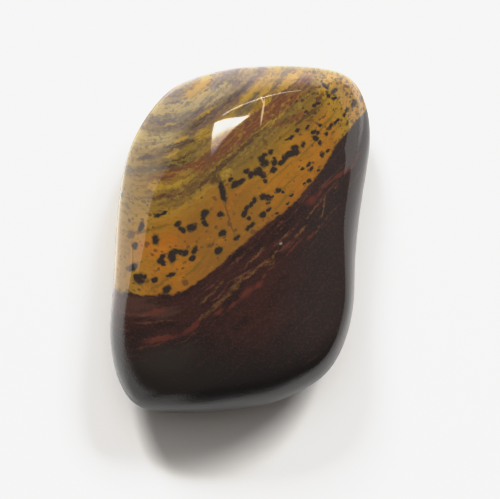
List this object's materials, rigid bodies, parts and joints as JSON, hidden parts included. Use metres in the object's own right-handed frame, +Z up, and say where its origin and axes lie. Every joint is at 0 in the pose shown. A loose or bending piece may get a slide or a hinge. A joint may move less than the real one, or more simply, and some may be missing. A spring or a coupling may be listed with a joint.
{
  "type": "tumbled mugglestone",
  "caption": "Polished pebble of banded ironstone, gold layers with dark specks beside a dark iron-rich band, with rounded corners and a slightly hollow long side.",
  "frame": {"origin": "on the surface that the stone lies on, under the middle of its bounding box", "axes": "+Z up, +Y along the stone's length towards its thinner end, +X across it"},
  "size_m": [0.0226, 0.031, 0.0104],
  "materials": {
    "polished_stone": "tumble-polished, banded gold-brown and near-black"
  },
  "bodies": {
    "root": {"tumbled_stone": "polished_stone"}
  },
  "joints": []
}
